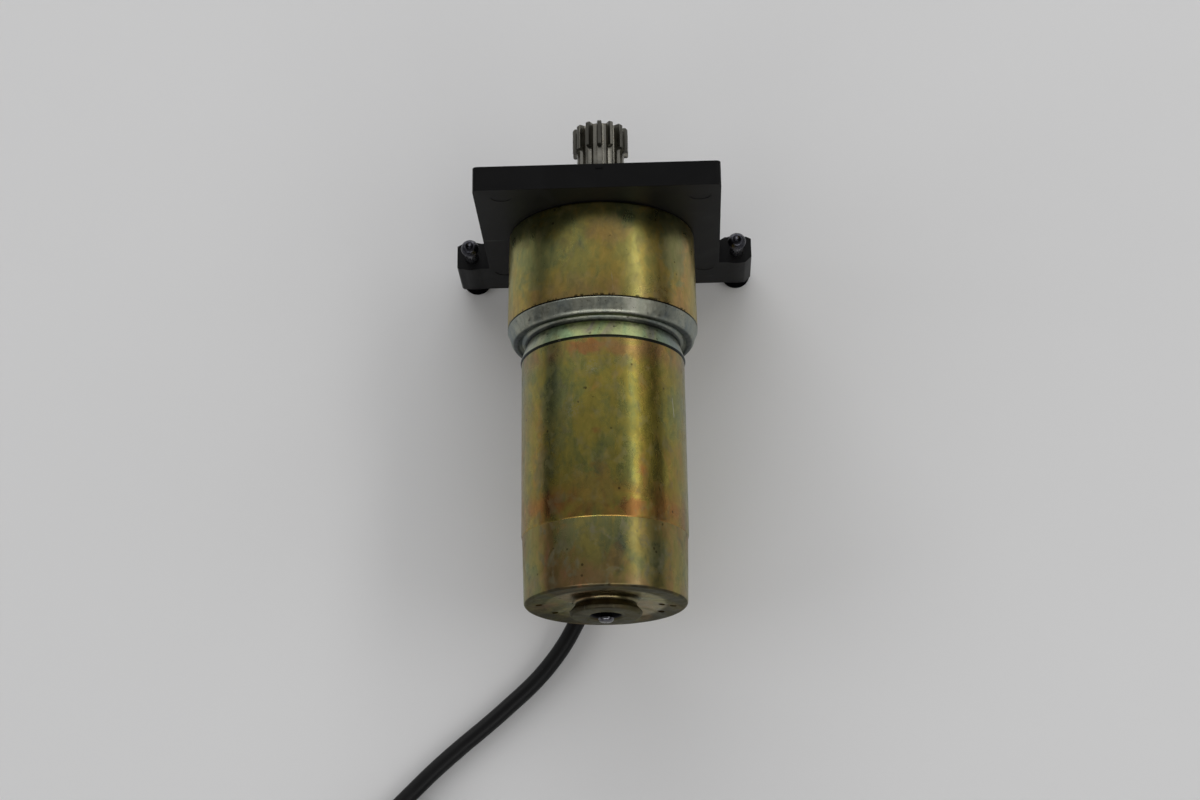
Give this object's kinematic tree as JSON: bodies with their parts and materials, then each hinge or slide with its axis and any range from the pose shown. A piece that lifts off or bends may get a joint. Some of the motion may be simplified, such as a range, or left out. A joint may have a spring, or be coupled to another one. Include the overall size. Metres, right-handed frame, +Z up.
{
  "type": "geared dc motor",
  "caption": "Brushed DC motor with an in-line planetary gearhead, a square plastic mounting plate with side lugs, a toothed output pinion and a round two-core lead.",
  "frame": {"origin": "on the resting surface, at the centre of the motor's own bounding box (lead not counted)", "axes": "+Y along the motor axis towards the output pinion, +Z up as the motor lies, +X to the right seen from the rear"},
  "size_m": [0.1265, 0.249, 0.0714],
  "materials": {
    "black_plastic": "satin moulded black glass-filled nylon",
    "black_steel": "black oxide, oiled",
    "yellow_chromate": "zinc plated steel with iridescent yellow chromate, brushed by turning",
    "zinc": "bright zinc plate, bluish, turned",
    "bronze": "sintered bronze",
    "steel": "machined steel, bare",
    "brass": "turned or stamped brass",
    "laminate": "stacked steel laminations",
    "copper": "enamelled copper wire",
    "ferrite": "sintered ferrite, matt dark grey",
    "card": "brown laminate board",
    "carbon": "pressed carbon",
    "cable_jacket": "black soft jacket, satin",
    "red_insulation": "red wire insulation",
    "tie_nylon": "black nylon",
    "connector_nylon": "natural nylon"
  },
  "bodies": {
    "motor_body": {"brush_card": "card", "brush_holder_left": "brass", "brush_holder_right": "brass", "brush_left": "carbon", "brush_right": "carbon", "brush_spring_left": "steel", "brush_spring_right": "steel", "cable_boot": "cable_jacket", "cable_tie": "tie_nylon", "connector_contact_1": "brass", "connector_contact_2": "brass", "front_bearing": "steel", "gear_housing": "yellow_chromate", "inner_lead_negative": "cable_jacket", "inner_lead_positive": "red_insulation", "lead_cable": "cable_jacket", "lead_coil": "cable_jacket", "lead_connector": "connector_nylon", "lead_tail": "cable_jacket", "lug_screw_left": "black_steel", "lug_screw_right": "black_steel", "magnet_left": "ferrite", "magnet_right": "ferrite", "motor_can": "yellow_chromate", "motor_flange": "zinc", "mounting_plate": "black_plastic", "output_bush": "bronze", "plate_screw_1": "black_steel", "plate_screw_2": "black_steel", "plate_screw_3": "black_steel", "plate_screw_4": "black_steel", "rear_bearing": "steel", "rear_cap": "yellow_chromate", "ring_gear": "steel", "thrust_washer": "bronze"},
    "output": {"output_shaft": "steel", "output_snap_ring": "black_steel", "output_pinion": "steel", "planet_pin_front_1": "steel", "planet_pin_front_2": "steel", "planet_pin_front_3": "steel"},
    "middle_stage": {"middle_carrier": "steel", "planet_pin_rear_1": "steel", "planet_pin_rear_2": "steel", "planet_pin_rear_3": "steel"},
    "rotor": {"motor_shaft": "steel", "motor_pinion": "brass", "rotor_core": "laminate", "armature_winding": "copper", "commutator": "brass"},
    "planet_front_1_body": {"planet_front_1": "steel"},
    "planet_front_2_body": {"planet_front_2": "steel"},
    "planet_front_3_body": {"planet_front_3": "steel"},
    "planet_rear_1_body": {"planet_rear_1": "steel"},
    "planet_rear_2_body": {"planet_rear_2": "steel"},
    "planet_rear_3_body": {"planet_rear_3": "steel"}
  },
  "joints": [
    {"name": "rotor_spin", "type": "hinge", "parent": "motor_body", "child": "rotor", "pos_m": [0, -0.0249, 0.037], "axis": [0, 1, 0], "continuous": true},
    {"name": "output_spin", "type": "hinge", "parent": "motor_body", "child": "output", "pos_m": [0, 0.0451, 0.037], "axis": [0, 1, 0], "continuous": true},
    {"name": "middle_stage_spin", "type": "hinge", "parent": "motor_body", "child": "middle_stage", "pos_m": [0, 0.0196, 0.037], "axis": [0, 1, 0], "continuous": true},
    {"name": "planet_front_1_spin", "type": "hinge", "parent": "output", "child": "planet_front_1_body", "pos_m": [0, 0.0253, 0.0505], "axis": [0, 1, 0], "continuous": true},
    {"name": "planet_front_2_spin", "type": "hinge", "parent": "output", "child": "planet_front_2_body", "pos_m": [-0.01169, 0.0253, 0.03025], "axis": [0, 1, 0], "continuous": true},
    {"name": "planet_front_3_spin", "type": "hinge", "parent": "output", "child": "planet_front_3_body", "pos_m": [0.01169, 0.0253, 0.03025], "axis": [0, 1, 0], "continuous": true},
    {"name": "planet_rear_1_spin", "type": "hinge", "parent": "middle_stage", "child": "planet_rear_1_body", "pos_m": [0, 0.0145, 0.0505], "axis": [0, 1, 0], "continuous": true},
    {"name": "planet_rear_2_spin", "type": "hinge", "parent": "middle_stage", "child": "planet_rear_2_body", "pos_m": [-0.01169, 0.0145, 0.03025], "axis": [0, 1, 0], "continuous": true},
    {"name": "planet_rear_3_spin", "type": "hinge", "parent": "middle_stage", "child": "planet_rear_3_body", "pos_m": [0.01169, 0.0145, 0.03025], "axis": [0, 1, 0], "continuous": true}
  ],
  "couplings": [
    {"joint": "output_spin", "follows": "rotor_spin", "ratio": 0.0625},
    {"joint": "middle_stage_spin", "follows": "rotor_spin", "ratio": 0.25},
    {"joint": "planet_front_1_spin", "follows": "rotor_spin", "ratio": -0.1875},
    {"joint": "planet_front_2_spin", "follows": "rotor_spin", "ratio": -0.1875},
    {"joint": "planet_front_3_spin", "follows": "rotor_spin", "ratio": -0.1875},
    {"joint": "planet_rear_1_spin", "follows": "rotor_spin", "ratio": -0.75},
    {"joint": "planet_rear_2_spin", "follows": "rotor_spin", "ratio": -0.75},
    {"joint": "planet_rear_3_spin", "follows": "rotor_spin", "ratio": -0.75}
  ]
}
